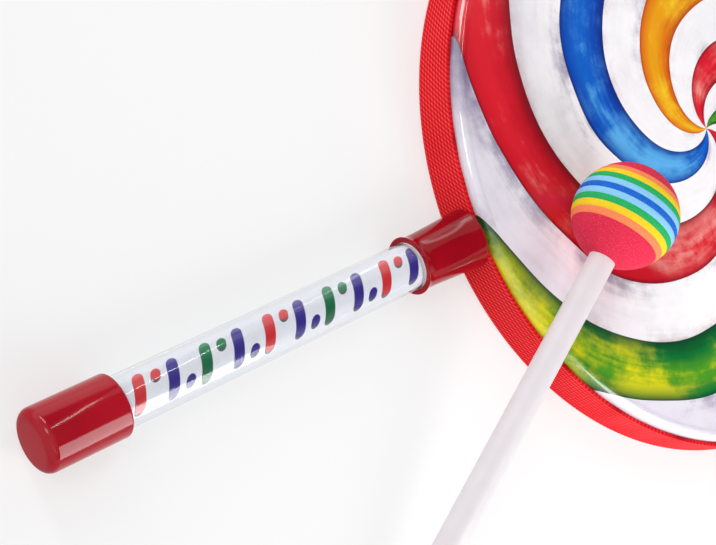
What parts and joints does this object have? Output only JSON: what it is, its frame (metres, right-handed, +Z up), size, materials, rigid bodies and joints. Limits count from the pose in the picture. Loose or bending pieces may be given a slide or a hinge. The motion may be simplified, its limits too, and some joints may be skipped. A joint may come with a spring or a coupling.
{
  "type": "lollipop drum",
  "caption": "Round hand drum on a straight tube handle, printed film head, woven band round the rim, end cap, and a loose mallet with a layered foam ball lying on the head.",
  "frame": {"origin": "middle of the footprint, on the table the drum lies on", "axes": "+Z up out of the head, -Y along the handle towards the end cap, +X to the right seen from the handle"},
  "size_m": [0.263, 0.4444, 0.0619],
  "materials": {
    "fibreboard": "raw pressed fibreboard",
    "printed_film": "glossy printed polyester film",
    "red_webbing": "flat woven nylon webbing",
    "dark_red_vinyl": "glossy dip-moulded vinyl",
    "clear_plastic": "clear, polished",
    "label_paper": "coated white paper",
    "plug_wood": "plain turned wood",
    "zinc_steel": "zinc plated",
    "red_vinyl": "glossy dip-moulded vinyl",
    "white_plastic": "satin",
    "foam_red": "matte closed-cell foam",
    "foam_orange": "matte closed-cell foam",
    "foam_yellow": "matte closed-cell foam",
    "foam_green": "matte closed-cell foam",
    "foam_light_blue": "matte closed-cell foam",
    "foam_blue": "matte closed-cell foam"
  },
  "bodies": {
    "drum": {"shell_hoop": "fibreboard", "drumhead": "printed_film", "rim_webbing": "red_webbing", "handle_socket": "dark_red_vinyl", "handle_tube": "clear_plastic", "label_insert": "label_paper", "anchor_plug": "plug_wood", "anchor_screw": "zinc_steel", "screw_washer": "zinc_steel"},
    "cap": {"end_cap": "red_vinyl"},
    "mallet": {"mallet_stick": "white_plastic", "foam_01_red": "foam_red", "foam_02_orange": "foam_orange", "foam_03_yellow": "foam_yellow", "foam_04_green": "foam_green", "foam_05_light_blue": "foam_light_blue", "foam_06_blue": "foam_blue", "foam_07_light_blue": "foam_light_blue", "foam_08_green": "foam_green", "foam_09_yellow": "foam_yellow", "foam_10_orange": "foam_orange", "foam_11_red": "foam_red"}
  },
  "joints": [
    {"name": "end_cap_pull", "type": "slide", "parent": "drum", "child": "cap", "axis": [0, -1, 0], "range_m": [0, 0.04]},
    {"name": "mallet_lift", "type": "slide", "parent": "drum", "child": "mallet", "axis": [0, 0, 1], "range_m": [0, 0.1]}
  ]
}
